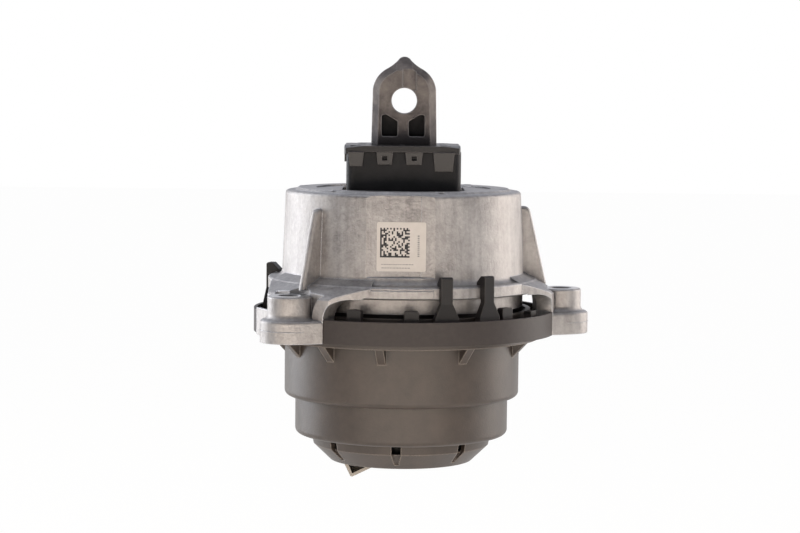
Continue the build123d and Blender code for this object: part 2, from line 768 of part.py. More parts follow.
# One hooked clip, drawn along +X: tapered side view cut to a flared front view
with BuildPart() as clip:
    hook_z = flange_top_z + slip_gap
    clip_root_z = feet_z + ring_floor / 2
    with BuildSketch(Plane.XZ):
        Polygon(
            (clip_inner_radius, clip_root_z),
            (clip_inner_radius, hook_z),
            (clip_inner_radius - hook_reach, hook_z),
            (clip_inner_radius - hook_reach, hook_z + hook_lip),
            (clip_inner_radius, flange_top_z + hook_rise),
            (clip_inner_radius + clip_leg - edge_break, flange_top_z + hook_rise),
            (clip_inner_radius + clip_leg, flange_top_z + hook_rise - edge_break),
            (clip_inner_radius + clip_leg, flange_low_z - 1.6),
            (clip_inner_radius + clip_foot, clip_root_z),
            align=None,
        )
    extrude(amount=clip_base_width / 2, both=True)
    with BuildSketch(Plane.YZ):
        Polygon(
            (-clip_base_width / 2, clip_root_z),
            (clip_base_width / 2, clip_root_z),
            (clip_base_width / 2, feet_z + skirt_height + 1.2),
            (clip_width / 2, flange_low_z - 1.2),
            (clip_width / 2, flange_top_z + hook_rise),
            (-clip_width / 2, flange_top_z + hook_rise),
            (-clip_width / 2, flange_low_z - 1.2),
            (-clip_base_width / 2, feet_z + skirt_height + 1.2),
            align=None,
        )
    extrude(amount=2 * leg_radius, mode=Mode.INTERSECT)

# One post of the clip ring, drawn along +X, with a rounded top, and a lower one like it
with BuildPart() as post:
    with BuildSketch(Plane.YZ.offset(post_inner_radius)) as post_face:
        with Locations((0, feet_z + post_height / 2)):
            Rectangle(post_width, post_height)
        fillet(post_face.vertices().group_by(Axis.Y)[-1], post_round)
    extrude(amount=post_radial)
with BuildPart() as low_post:
    add(post.part)
    with Locations((post_inner_radius + post_radial / 2, 0, feet_z + post_height)):
        Box(2 * post_radial, 2 * post_width, 2 * low_post_drop, mode=Mode.SUBTRACT)

# Clip ring: one moulding with a floor, a skirt in each arch, posts and hooked clips
with BuildPart() as clip_ring:
    for arch, setback in zip(arch_spans, skirt_setbacks):
        arch_middle, arch_half = arch
        skirt_radius = leg_radius - setback
        with BuildSketch(upright(arch_middle - arch_half)):
            Polygon(
                (ring_inner_radius, feet_z),
                (skirt_radius, feet_z),
                (skirt_radius, skirt_top_z),
                (skirt_radius - skirt_wall, skirt_top_z),
                (skirt_radius - skirt_wall, feet_z + ring_floor),
                (ring_inner_radius, feet_z + ring_floor),
                align=None,
            )
        revolve(axis=Axis.Z, revolution_arc=2 * arch_half)
    with BuildSketch(Plane.XY.offset(feet_z)):
        for azimuth in foot_azimuths:
            with Locations(around(azimuth) * Location((leg_radius, 0, 0))):
                Rectangle(leg_radius, 2 * (leg_half_width + slip_gap))
        Circle(ring_leg_radius, mode=Mode.SUBTRACT)
    extrude(amount=skirt_height, mode=Mode.SUBTRACT)
    for azimuth in post_azimuths:
        add(around(azimuth) * post.part)
    add(around(low_post_azimuth) * low_post.part)
    for arch, turns in zip(arch_spans, (front_clip_turns, side_clip_turns, side_clip_turns)):
        for turn in turns:
            add(around(arch[0] + turn) * clip.part)
save(clip_ring.part, "clip_ring")

# Groove under a slot of the pot, drawn along +X and narrowing downwards
with BuildPart() as groove:
    slot_top_z = pot_base_z - slot_lip
    slot_foot_z = slot_top_z - slot_height
    groove_foot_z = slot_foot_z - groove_height
    groove_radius = pot_base_radius - pot_foot_draft - pot_wall + groove_wall
    with BuildSketch(Plane.XZ):
        Polygon(
            (groove_radius, slot_foot_z),
            (pot_radius, slot_foot_z),
            (pot_radius, groove_foot_z),
            (groove_radius - groove_height * pot_foot_in / pot_base_drop, groove_foot_z),
            align=None,
        )
    extrude(amount=slot_width / 2, both=True)
    with BuildSketch(Plane.YZ):
        Polygon(
            (-slot_width / 2, slot_foot_z),
            (slot_width / 2, slot_foot_z),
            (groove_foot_width / 2, groove_foot_z),
            (-groove_foot_width / 2, groove_foot_z),
            align=None,
        )
    extrude(amount=2 * pot_radius, mode=Mode.INTERSECT)

# Pot: moulded cover with a stepped wall, gussets, slots and a cradle for the solenoid
with BuildPart() as pot:
    with BuildSketch(Plane.XZ):
        Polygon(
            (spigot_radius - spigot_wall, ring_foot_z),
            (spigot_radius, ring_foot_z),
            (spigot_radius, pot_rim_z),
            (collar_radius, pot_rim_z),
            (collar_radius, pot_rim_z + collar_height),
            (collar_outer_radius, pot_rim_z + collar_height),
            (collar_outer_radius, pot_rim_z),
            (pot_flange_radius, pot_rim_z),
            (pot_flange_radius, pot_rim_z - pot_flange),
            (pot_radius, pot_rim_z - pot_flange),
            (pot_radius, pot_step_z),
            (pot_step_radius, pot_step_z),
            (pot_step_radius, pot_base_z),
            (pot_base_radius, pot_base_z),
            (pot_base_radius - pot_foot_draft, slot_foot_z),
            (pot_foot_radius, pot_foot_z),
            (0, pot_foot_z),
            (0, pot_floor_z),
            (cradle_radius, pot_floor_z),
            (cradle_radius, yoke_foot_z),
            (cradle_radius + cradle_wall, yoke_foot_z),
            (cradle_radius + cradle_wall, pot_floor_z),
            (pot_foot_radius - 0.6 * pot_wall, pot_floor_z),
            (pot_base_radius - pot_foot_draft - pot_wall, slot_foot_z + pot_wall / 4),
            (pot_base_radius - pot_wall, pot_base_z + pot_wall),
            (pot_step_radius - pot_wall, pot_base_z + pot_wall),
            (pot_step_radius - pot_wall, pot_step_z + pot_wall),
            (pot_radius - pot_wall, pot_step_z + pot_wall),
            (pot_radius - pot_wall, pot_rim_z - pot_wall),
            (spigot_radius - spigot_wall, pot_rim_z - pot_wall),
            align=None,
        )
    revolve(axis=Axis.Z)
    fillet(ring_edges(pot, pot_radius, pot_step_z), pot_round)
    fillet(ring_edges(pot, pot_step_radius, pot_base_z), pot_round)
    with BuildSketch(Plane.XZ) as gusset:
        Polygon(
            (pot_radius - pot_wall / 2, pot_rim_z - pot_flange / 2),
            (pot_radius + gusset_reach, pot_rim_z - pot_flange / 2),
            (pot_radius + gusset_reach, pot_rim_z - pot_flange),
            (pot_radius, pot_rim_z - pot_flange - gusset_height),
            (pot_radius - pot_wall / 2, pot_rim_z - pot_flange - gusset_height),
            align=None,
        )
    gusset_body = extrude(gusset.sketch, amount=gusset_width / 2, both=True, mode=Mode.PRIVATE)
    for azimuth in gusset_azimuths:
        add(around(azimuth) * gusset_body)
    for step in range(slot_count):
        turn = around(slot_azimuth + step * 360 / slot_count)
        with Locations(turn * Location((pot_base_radius, 0, (slot_top_z + slot_foot_z) / 2))):
            Box(4 * pot_wall, slot_width, slot_height, mode=Mode.SUBTRACT)
        add(turn * groove.part, mode=Mode.SUBTRACT)
    roll = radians(socket_roll)
    socket_reach = (socket_width * cos(roll) + socket_height * sin(roll)) / 2
    with BuildSketch(Plane.XY.offset(pot_foot_z - 1)):
        with Locations((socket_x, socket_front_y + socket_depth + slip_gap - pot_base_radius / 2)):
            Rectangle(2 * (socket_reach + slip_gap), pot_base_radius)
        Circle(pot_foot_radius - 1, mode=Mode.INTERSECT)
    extrude(amount=yoke_foot_z - pot_foot_z + 1, mode=Mode.SUBTRACT)
    for azimuth in screw_azimuths:
        with Locations(around(azimuth) * Location((screw_circle_radius, 0, yoke_foot_z - screw_length / 2))):
            Cylinder(screw_radius + thread_gap, screw_length, mode=Mode.SUBTRACT)
save(pot.part, "pot")

# Guide tube of the solenoid: its flange clamps the inner bead of the bellows
with BuildPart() as guide_tube:
    with BuildSketch(Plane.XZ):
        Polygon(
            (guide_bore, pole_top_z),
            (guide_radius, pole_top_z),
            (guide_radius, bead_foot_z - guide_flange),
            (guide_flange_radius, bead_foot_z - guide_flange),
            (guide_flange_radius, bead_foot_z),
            (guide_radius, bead_foot_z),
            (guide_radius, cover_foot_z),
            (guide_bore, cover_foot_z),
            align=None,
        )
    revolve(axis=Axis.Z)
save(guide_tube.part, "guide_tube")

# Solenoid yoke: drawn steel cup with a screw flange at its foot
with BuildPart() as solenoid_yoke:
    with BuildSketch(Plane.XZ):
        Polygon(
            (0, yoke_foot_z),
            (yoke_flange_radius, yoke_foot_z),
            (yoke_flange_radius, yoke_floor_z),
            (yoke_radius, yoke_floor_z),
            (yoke_radius, yoke_top_z),
            (yoke_radius - yoke_wall, yoke_top_z),
            (yoke_radius - yoke_wall, yoke_floor_z),
            (0, yoke_floor_z),
            align=None,
        )
    revolve(axis=Axis.Z)
    for azimuth in screw_azimuths:
        with Locations(around(azimuth) * Location((screw_circle_radius, 0, yoke_foot_z + yoke_wall / 2))):
            Cylinder(screw_radius + fit_gap, yoke_wall, mode=Mode.SUBTRACT)
save(solenoid_yoke.part, "solenoid_yoke")

# Flux washer: steel disc pressed into the mouth of the yoke
with BuildPart() as flux_washer:
    with Locations((0, 0, washer_foot_z + yoke_wall / 2)):
        Cylinder(yoke_radius - yoke_wall - fit_gap, yoke_wall)
        Cylinder(bobbin_bore_radius, yoke_wall, mode=Mode.SUBTRACT)
save(flux_washer.part, "flux_washer")

# Coil bobbin: moulded spool between the yoke's floor and the washer
with BuildPart() as coil_bobbin:
    bobbin_radius = yoke_radius - yoke_wall - 2 * fit_gap
    with BuildSketch(Plane.XZ):
        Polygon(
            (bobbin_bore_radius, yoke_floor_z),
            (bobbin_radius, yoke_floor_z),
            (bobbin_radius, yoke_floor_z + bobbin_wall),
            (bobbin_bore_radius + bobbin_wall, yoke_floor_z + bobbin_wall),
            (bobbin_bore_radius + bobbin_wall, washer_foot_z - bobbin_wall),
            (bobbin_radius, washer_foot_z - bobbin_wall),
            (bobbin_radius, washer_foot_z),
            (bobbin_bore_radius, washer_foot_z),
            align=None,
        )
    revolve(axis=Axis.Z)
save(coil_bobbin.part, "coil_bobbin")

# Coil winding: copper wire wound on the bobbin, drawn as one solid
with BuildPart() as coil_winding:
    with BuildSketch(Plane.XZ):
        Polygon(
            (bobbin_bore_radius + bobbin_wall, yoke_floor_z + bobbin_wall),
            (bobbin_radius - winding_gap, yoke_floor_z + bobbin_wall),
            (bobbin_radius - winding_gap, washer_foot_z - bobbin_wall),
            (bobbin_bore_radius + bobbin_wall, washer_foot_z - bobbin_wall),
            align=None,
        )
    revolve(axis=Axis.Z)
save(coil_winding.part, "coil_winding")

# Pole core: turned steel stub on the yoke's floor
with BuildPart() as pole_core:
    with Locations((0, 0, (yoke_floor_z + pole_top_z) / 2)):
        Cylinder(guide_radius, pole_height)
save(pole_core.part, "pole_core")

# Plunger: turned steel armature with a spring recess and a stem up to the vent
with BuildPart() as plunger:
    with BuildSketch(Plane.XZ):
        Polygon(
            (0, plunger_foot_z + recess_depth),
            (recess_radius, plunger_foot_z + recess_depth),
            (recess_radius, plunger_foot_z),
            (plunger_radius, plunger_foot_z),
            (plunger_radius, plunger_top_z),
            (stem_radius, plunger_top_z + plunger_shoulder),
            (stem_radius, tip_foot_z),
            (0, tip_foot_z),
            align=None,
        )
    revolve(axis=Axis.Z)
save(plunger.part, "plunger")

# Plunger seal: rubber disc on the stem that closes the vent bore
with BuildPart() as plunger_seal:
    with Locations((0, 0, (tip_foot_z + tip_top_z) / 2)):
        Cylinder(tip_pad_radius, tip_pad_thickness)
save(plunger_seal.part, "plunger_seal")

# Plunger spring: steel coil between the pole and the plunger's recess
with BuildPart() as plunger_spring:
    coil_foot_z = pole_top_z + spring_wire / 2
    coil_height = plunger_foot_z + recess_depth - spring_wire / 2 - coil_foot_z
    with BuildLine() as coil_path:
        coil_pitch = coil_height / spring_turns
        Helix(pitch=coil_pitch, height=coil_height, radius=spring_radius, center=(0, 0, coil_foot_z))
    with BuildSketch(Plane(origin=coil_path.line @ 0, z_dir=coil_path.line % 0)):
        RegularPolygon(spring_wire / 2, 6)
    sweep(path=coil_path.line, is_frenet=True)
save(plunger_spring.part, "plunger_spring")

# Solenoid screws: three thread-forming screws through the yoke's flange into the cradle
with BuildPart() as solenoid_screws:
    for azimuth in screw_azimuths:
        turn = around(azimuth)
        with Locations(turn * Location((screw_circle_radius, 0, yoke_floor_z + screw_head / 2))):
            Cylinder(screw_head_radius, screw_head)
        with Locations(turn * Location((screw_circle_radius, 0, yoke_floor_z - screw_length / 2))):
            Cylinder(screw_radius, screw_length)
save(solenoid_screws.part, "solenoid_screws")

# Connector socket: moulded shroud under the pot, rolled about its own axis, with a lead-out
with BuildPart() as connector_socket:
    with BuildSketch(Plane.XZ.offset(-socket_front_y)):
        with Locations((socket_x, socket_z)):
            Rectangle(socket_width, socket_height, rotation=socket_roll)
    extrude(amount=-socket_depth)
    chamfer(connector_socket.edges().filter_by(Axis.Y), edge_break)
    with BuildSketch(Plane.XZ.offset(-socket_front_y)):
        with Locations((socket_x, socket_z)):
            Rectangle(socket_width - 2 * socket_wall, socket_height - 2 * socket_wall, rotation=socket_roll)
    extrude(amount=-(socket_depth - socket_back), mode=Mode.SUBTRACT)
    lead_height = yoke_foot_z - pot_floor_z - 2 * fit_gap
    lead_y = socket_front_y + socket_depth
    with Locations((socket_x + 2, lead_y + 2.5, (yoke_foot_z + pot_floor_z) / 2)):
        Box(9.0, 7.0, lead_height)
save(connector_socket.part, "connector_socket")

# Connector pins: two tin-plated blades side by side in the socket
with BuildPart() as connector_pins:
    with BuildSketch(Plane.XZ.offset(-(socket_front_y + socket_depth - socket_back))):
        for hand in (-1, 1):
            pin_x = socket_x + hand * pin_spacing / 2 * cos(roll)
            with Locations((pin_x, socket_z + hand * pin_spacing / 2 * sin(roll))):
                Rectangle(pin_width, pin_thickness, rotation=socket_roll)
    extrude(amount=pin_length)
save(connector_pins.part, "connector_pins")

# Code label: square foil stuck on the facet and leaning with it
with BuildPart() as code_label:
    label_y = facet_top_y + (rim_z + label_drop) * (facet_foot_y - facet_top_y) / (rim_z - facet_foot_z)
    label_plane = Plane(
        origin=(0, label_y, -label_drop),
        x_dir=(1, 0, 0),
        z_dir=(0, -cos(facet_tilt), sin(facet_tilt)),
    )
    with BuildSketch(label_plane) as label_outline:
        with Locations((label_offset, 0)):
            RectangleRounded(label_size, label_size, label_round)
    label_body = extrude(label_outline.sketch, amount=label_thickness, mode=Mode.PRIVATE)
    add(Rot(0, 0, facet_turn) * label_body)
save(code_label.part, "code_label")
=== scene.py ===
import math
import random

import bmesh
import bpy
from mathutils import Matrix, Vector


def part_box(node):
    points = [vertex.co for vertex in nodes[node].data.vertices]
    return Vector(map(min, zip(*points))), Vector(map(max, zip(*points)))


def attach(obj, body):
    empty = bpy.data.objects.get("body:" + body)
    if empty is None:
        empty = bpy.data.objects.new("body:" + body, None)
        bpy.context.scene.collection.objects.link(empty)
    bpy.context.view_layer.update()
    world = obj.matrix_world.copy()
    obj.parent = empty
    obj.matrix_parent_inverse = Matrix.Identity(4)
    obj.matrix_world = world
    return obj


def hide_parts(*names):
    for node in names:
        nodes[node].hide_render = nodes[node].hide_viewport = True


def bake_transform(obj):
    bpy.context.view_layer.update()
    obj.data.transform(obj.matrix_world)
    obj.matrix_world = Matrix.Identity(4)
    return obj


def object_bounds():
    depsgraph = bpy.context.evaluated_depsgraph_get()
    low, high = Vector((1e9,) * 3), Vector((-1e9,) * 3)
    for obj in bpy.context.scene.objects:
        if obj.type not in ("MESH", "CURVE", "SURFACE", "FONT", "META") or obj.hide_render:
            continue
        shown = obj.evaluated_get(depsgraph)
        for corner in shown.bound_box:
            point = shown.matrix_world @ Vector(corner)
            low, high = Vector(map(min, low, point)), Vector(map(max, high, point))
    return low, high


# Hydraulic engine mount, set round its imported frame. Metres, +Z up along the mount's axis,
# and the origin in the middle of the arm's bolt bore. The label faces -Y, towards the camera.

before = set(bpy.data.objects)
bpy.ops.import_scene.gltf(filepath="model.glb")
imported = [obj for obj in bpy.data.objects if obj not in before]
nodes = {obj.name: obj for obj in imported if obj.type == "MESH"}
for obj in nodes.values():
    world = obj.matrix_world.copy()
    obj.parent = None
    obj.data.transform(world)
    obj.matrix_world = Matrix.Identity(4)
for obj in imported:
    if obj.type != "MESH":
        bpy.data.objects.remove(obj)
cad_low, cad_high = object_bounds()

# Studio
# A pale sweep below the mount and five soft lamps, as for a catalogue photograph.
# The mount hangs free of the floor, held as its carrier would hold it.


def linear(hex_code):
    """Linear colour of an sRGB hex code."""
    parts = [int(hex_code[place:place + 2], 16) / 255 for place in (1, 3, 5)]
    return tuple(p / 12.92 if p <= 0.04045 else ((p + 0.055) / 1.055) ** 2.4 for p in parts) + (1.0,)


def add_node(tree, kind, settings=(), links=()):
    """Add a node, set its properties or input sockets, and link its inputs.

    Inputs 6 and 7 of a colour Mix node are its two colours, and its output 2 is the result.
    """
    node = tree.nodes.new(kind)
    for name, value in dict(settings).items():
        if isinstance(name, str) and hasattr(node, name):
            setattr(node, name, value)
        else:
            node.inputs[name].default_value = value
    for name, socket in dict(links).items():
        tree.links.new(socket, node.inputs[name])
    return node


floor_drop = 0.16
floor_half = 6.0
floor_mesh = bmesh.new()
bmesh.ops.create_grid(
    floor_mesh, x_segments=1, y_segments=1, size=floor_half,
    matrix=Matrix.Translation((0, 0, cad_low[2] - floor_drop)),
)
floor_data = bpy.data.meshes.new("floor")
floor_mesh.to_mesh(floor_data)
floor_mesh.free()
floor = bpy.data.objects.new("floor", floor_data)
bpy.context.collection.objects.link(floor)

# Warm white paper: it keeps the mount's shadow, and looks evenly white to the camera and in metal
sweep_paint = bpy.data.materials.new("white paper sweep")
sweep_paint.use_nodes = True
tree = sweep_paint.node_tree
tree.nodes.clear()
shadow_share = 0.03
seen = add_node(tree, "ShaderNodeLightPath")
matte = add_node(tree, "ShaderNodeBsdfDiffuse", {"Color": linear("#f7ebdb")})
white = add_node(tree, "ShaderNodeEmission", {"Color": (1, 1, 1, 1), "Strength": 1.0})
direct = add_node(
    tree, "ShaderNodeMath", {"operation": "MAXIMUM"},
    {0: seen.outputs["Is Camera Ray"], 1: seen.outputs["Is Glossy Ray"]},
)
shown = add_node(
    tree, "ShaderNodeMath", {"operation": "MULTIPLY", 1: 1 - shadow_share}, {0: direct.outputs[0]}
)
blend = add_node(
    tree, "ShaderNodeMixShader", {}, {0: shown.outputs[0], 1: matte.outputs[0], 2: white.outputs[0]}
)
add_node(tree, "ShaderNodeOutputMaterial", {}, {"Surface": blend.outputs[0]})
floor_data.materials.append(sweep_paint)

world = bpy.data.worlds.new("studio")
bpy.context.scene.world = world
world.use_nodes = True
tree = world.node_tree
tree.nodes.clear()
# The room is dark on the camera's side and bright behind the mount, where the white sweep stands.
# Each span is the stretch of the ray's direction over which the level or the tone changes.
front_level = 0.38
front_mirrored_level = 0.17
back_level = 1.0
room_span = (-0.7, 0.8)
mirrored_span = (-0.6, 0.7)
tone_span = (-0.5, 0.6)
back_and_low = (0.0, 0.85, -0.45)
seen = add_node(tree, "ShaderNodeLightPath")
ray = add_node(tree, "ShaderNodeTexCoord").outputs["Generated"]
sides = add_node(tree, "ShaderNodeSeparateXYZ", {}, {0: ray})
room_level = add_node(
    tree, "ShaderNodeMapRange",
    {"From Min": room_span[0], "From Max": room_span[1], "To Min": front_level, "To Max": back_level},
    {"Value": sides.outputs["Y"]},
)
glance = add_node(
    tree, "ShaderNodeVectorMath", {"operation": "DOT_PRODUCT", 1: back_and_low}, {0: ray}
)
mirrored_level = add_node(
    tree, "ShaderNodeMapRange",
    {
        "From Min": mirrored_span[0], "From Max": mirrored_span[1],
        "To Min": front_mirrored_level, "To Max": back_level,
    },
    {"Value": glance.outputs["Value"]},
)
ray_height = add_node(
    tree, "ShaderNodeMapRange", {"From Min": tone_span[0], "From Max": tone_span[1]},
    {"Value": sides.outputs["Z"]},
)
hue = add_node(
    tree, "ShaderNodeMix", {"data_type": "RGBA", 6: linear("#ffeedd"), 7: linear("#e6eeff")},
    {0: ray_height.outputs[0]},
)
room = add_node(
    tree, "ShaderNodeBackground", {}, {"Color": hue.outputs[2], "Strength": room_level.outputs[0]}
)
mirrored = add_node(
    tree, "ShaderNodeBackground", {}, {"Color": hue.outputs[2], "Strength": mirrored_level.outputs[0]}
)
backdrop = add_node(tree, "ShaderNodeBackground", {"Color": (1, 1, 1, 1), "Strength": 1.0})
walls = add_node(
    tree, "ShaderNodeMixShader", {},
    {0: seen.outputs["Is Glossy Ray"], 1: room.outputs[0], 2: mirrored.outputs[0]},
)
sky = add_node(
    tree, "ShaderNodeMixShader", {},
    {0: seen.outputs["Is Camera Ray"], 1: walls.outputs[0], 2: backdrop.outputs[0]},
)
add_node(tree, "ShaderNodeOutputWorld", {}, {"Surface": sky.outputs[0]})

# Each lamp has a place, a width and height, a power in watts and a tone. The fill in front casts
# no highlight of its own.
lamp_aim = Vector((0, 0, -0.07))
for name, place, width, height, power, tone in (
    ("left_softbox", (-1.25, 0.62, 0.10), 0.9, 1.4, 18.0, "#f0f4fa"),
    ("right_softbox", (1.25, 0.45, 0.02), 0.8, 1.4, 11.0, "#fff6ee"),
    ("top_softbox", (-0.1, 0.0, 1.30), 1.2, 1.0, 3.0, "#eef3ff"),
    ("low_softbox", (0.0, -0.66, -0.30), 1.4, 0.3, 4.7, "#ffeedd"),
    ("front_fill", (0.0, -1.60, 0.50), 2.0, 1.2, 6.0, "#fffaf4"),
):
    lamp_data = bpy.data.lights.new(name, "AREA")
    lamp_data.shape = "RECTANGLE"
    lamp_data.size = width
    lamp_data.size_y = height
    lamp_data.energy = power
    lamp_data.color = linear(tone)[:3]
    lamp = bpy.data.objects.new(name, lamp_data)
    lamp.location = place
    lamp.rotation_euler = (lamp_aim - Vector(place)).to_track_quat("-Z", "Y").to_euler()
    lamp.visible_glossy = name != "front_fill"
    bpy.context.collection.objects.link(lamp)

# Camera at the photograph's place: a metre in front, level with the bolt bore, tilted down and
# turned a little about its own axis
camera_distance = 1.004
camera_height = 0.00844
camera_side = -0.00113
camera_tilt = math.radians(4.575)
camera_roll = 0.0101
camera_data = bpy.data.cameras.new("camera")
camera_data.sensor_width = 36
camera_data.lens = 104.3
camera_data.clip_start = 0.05
camera_data.clip_end = 50
camera = bpy.data.objects.new("camera", camera_data)
camera.matrix_world = (
    Matrix.Translation((camera_side, -camera_distance, camera_height))
    @ Matrix.Rotation(math.pi / 2 - camera_tilt, 4, "X")
    @ Matrix.Rotation(camera_roll, 4, "Z")
)
bpy.context.collection.objects.link(camera)
bpy.context.scene.camera = camera
bpy.context.scene.view_settings.view_transform = "Standard"


# Housing
# An aluminium die casting, shot blasted after the gate was cut off. It carries the rubber
# spring and stands on its carrier with three bolted feet. The two nozzle plates inside are
# cast of the same.


def finish_of(name, metallic, roughness):
    """Start a material: its tree, its shader, and the point coordinates in metres."""
    material = bpy.data.materials.new(name)
    material.use_nodes = True
    tree = material.node_tree
    tree.nodes.clear()
    point = add_node(tree, "ShaderNodeTexCoord").outputs["Object"]
    shader = add_node(tree, "ShaderNodeBsdfPrincipled", {"Metallic": metallic, "Roughness": roughness})
    add_node(tree, "ShaderNodeOutputMaterial", {}, {"Surface": shader.outputs[0]})
    return material, tree, shader, point


def per_metre(millimetres):
    """Pattern scale whose marks are this many millimetres wide."""
    return 1000 / millimetres


def tint(tree, shader, amount, light, dark):
    """Colour the shader between two hex colours by an amount socket."""
    mix = add_node(
        tree, "ShaderNodeMix", {"data_type": "RGBA", 6: linear(dark), 7: linear(light)}, {0: amount}
    )
    tree.links.new(mix.outputs[2], shader.inputs["Base Color"])
    return mix


def dress(node, material):
    """Give a carried-over CAD node its material in every slot."""
    piece = nodes[node]
    if not piece.data.materials:
        piece.data.materials.append(material)
    for place in range(len(piece.data.materials)):
        piece.data.materials[place] = material


def rounded(tree, radius):
    """Normals rounded over the sharp edges, and a mask that is 1 on those edges."""
    flat_match = 0.995
    edge_match = 0.86
    soft = add_node(tree, "ShaderNodeBevel", {"samples": 4, "Radius": radius})
    flat = add_node(tree, "ShaderNodeNewGeometry")
    match = add_node(
        tree, "ShaderNodeVectorMath", {"operation": "DOT_PRODUCT"},
        {0: soft.outputs[0], 1: flat.outputs["Normal"]},
    )
    edge = add_node(
        tree, "ShaderNodeMapRange",
        {"From Min": flat_match, "From Max": edge_match, "To Min": 0.0, "To Max": 1.0},
        {"Value": match.outputs["Value"]},
    )
    return soft.outputs[0], edge.outputs[0]


def wear_and_edge_highlight(tree, shader, mix, edge, colour, strength):
    """Shift the colour towards a hex colour on the sharp edges: partly wear, partly a painted highlight."""
    share = add_node(tree, "ShaderNodeMath", {"operation": "MULTIPLY", 1: strength}, {0: edge})
    worn_and_lit = add_node(
        tree, "ShaderNodeMix", {"data_type": "RGBA", 7: linear(colour)},
        {0: share.outputs[0], 6: mix.outputs[2]},
    )
    tree.links.new(worn_and_lit.outputs[2], shader.inputs["Base Color"])
    return worn_and_lit


def paint_hollow_shade(tree, shader, mix, colour, reach, strength):
    """Painted shade: shift the colour towards a hex colour in hollows narrower than the reach, in metres.
    """
    open_share = 0.80
    closed_share = 0.25
    open_sky = add_node(tree, "ShaderNodeAmbientOcclusion", {"samples": 8, "Distance": reach})
    closed = add_node(
        tree, "ShaderNodeMapRange",
        {"From Min": open_share, "From Max": closed_share, "To Min": 0.0, "To Max": strength},
        {"Value": open_sky.outputs["AO"]},
    )
    hollow_shade = add_node(
        tree, "ShaderNodeMix", {"data_type": "RGBA", 7: linear(colour)},
        {0: closed.outputs[0], 6: mix.outputs[2]},
    )
    tree.links.new(hollow_shade.outputs[2], shader.inputs["Base Color"])


def roughen(tree, shader, normal, layers):
    """Chain bumps on the shader: each layer is a height socket, a strength and a depth in metres."""
    for height, strength, depth in layers:
        bump = add_node(
            tree, "ShaderNodeBump", {"Strength": strength, "Distance": depth},
            {"Height": height, "Normal": normal},
        )
        normal = bump.outputs[0]
    tree.links.new(normal, shader.inputs["Normal"])


# Blasted die-cast aluminium: clouds of 18 mm, flow marks of 5.3 mm and mottle of 1.6 mm that the
# metal left as it froze, drag marks of 2.4 mm down the draft, and grit. The grit is drawn at 0.9 mm,
# coarser than the real 0.3 mm, so that it shows. The eye gets a pale, cloudy, satin grey.
cast, tree, shader, point = finish_of("blasted die-cast aluminium", 0.85, 0.5)
cloud = add_node(
    tree, "ShaderNodeTexNoise",
    {"Scale": per_metre(18), "Detail": 7.0, "Roughness": 0.68}, {"Vector": point},
)
drag_scale = (per_metre(2.4), per_metre(2.4), per_metre(28))
drawn = add_node(tree, "ShaderNodeMapping", {"Scale": drag_scale}, {"Vector": point})
drag = add_node(
    tree, "ShaderNodeTexNoise",
    {"Scale": 1.0, "Detail": 5.0, "Roughness": 0.6}, {"Vector": drawn.outputs[0]},
)
marks = add_node(
    tree, "ShaderNodeMix", {"data_type": "FLOAT", 0: 0.34}, {2: cloud.outputs[0], 3: drag.outputs[0]}
)
mottle = add_node(
    tree, "ShaderNodeTexNoise",
    {"Scale": per_metre(1.6), "Detail": 6.0, "Roughness": 0.65}, {"Vector": point},
)
skin_marks = add_node(
    tree, "ShaderNodeMix", {"data_type": "FLOAT", 0: 0.22}, {2: marks.outputs[0], 3: mottle.outputs[0]}
)
mark_range = add_node(
    tree, "ShaderNodeMapRange", {"From Min": 0.38, "From Max": 0.62}, {"Value": skin_marks.outputs[0]}
)
mix = tint(tree, shader, mark_range.outputs[0], "#bfbbb8", "#8c8886")
sheen = add_node(
    tree, "ShaderNodeMapRange",
    {"From Min": 0.36, "From Max": 0.64, "To Min": 0.40, "To Max": 0.60}, {"Value": marks.outputs[0]},
)
tree.links.new(sheen.outputs[0], shader.inputs["Roughness"])
grit = add_node(tree, "ShaderNodeTexNoise", {"Scale": per_metre(0.9), "Detail": 4.0}, {"Vector": point})
flow = add_node(tree, "ShaderNodeTexNoise", {"Scale": per_metre(5.3), "Detail": 5.0}, {"Vector": point})
soft_normal, edge = rounded(tree, radius=0.0006)
# Wear and a painted highlight on the sharp edges
worn_and_lit = wear_and_edge_highlight(tree, shader, mix, edge, "#e4e6ea", strength=0.7)
# Painted shade in the hollows
paint_hollow_shade(tree, shader, worn_and_lit, "#5b585d", reach=0.004, strength=0.5)
roughen(tree, shader, soft_normal, (
    (drag.outputs[0], 0.15, 0.0004),
    (flow.outputs[0], 0.45, 0.0006),
    (grit.outputs[0], 0.60, 0.0002),
))
for node in ("housing", "nozzle_plate", "nozzle_cover"):
    dress(node, cast)


def spin_outline(shell, outline, centre, first, turn, steps):
    """Spin a closed outline of (radius, height) points about an upright axis through centre.

    Angles count from -Y towards +X, and a full turn is welded.
    """
    ring = bmesh.new()
    start = Matrix.Rotation(first - math.pi / 2, 3, "Z")
    points = [ring.verts.new(start @ Vector((radius, 0, height))) for radius, height in outline]
    edges = [ring.edges.new((points[place - 1], points[place])) for place in range(len(points))]
    whole = turn >= 2 * math.pi
    bmesh.ops.spin(
        ring, geom=points + edges, cent=(0, 0, 0), axis=(0, 0, 1), angle=turn, steps=steps,
        use_merge=whole,
    )
    if not whole:
        bmesh.ops.holes_fill(ring, edges=ring.edges, sides=len(outline))
    bmesh.ops.translate(ring, verts=ring.verts, vec=centre)
    scratch = bpy.data.meshes.new("ring")
    ring.to_mesh(scratch)
    ring.free()
    shell.from_mesh(scratch)
    bpy.data.meshes.remove(scratch)


def add_piece(name, shell, material):
    """Turn a bmesh into a finished piece that rides on the mount."""
    bmesh.ops.recalc_face_normals(shell, faces=shell.faces)
    mesh = bpy.data.meshes.new(name)
    shell.to_mesh(mesh)
    shell.free()
    mesh.materials.append(material)
    piece = bpy.data.objects.new(name, mesh)
    bpy.context.collection.objects.link(piece)
    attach(piece, "mount")


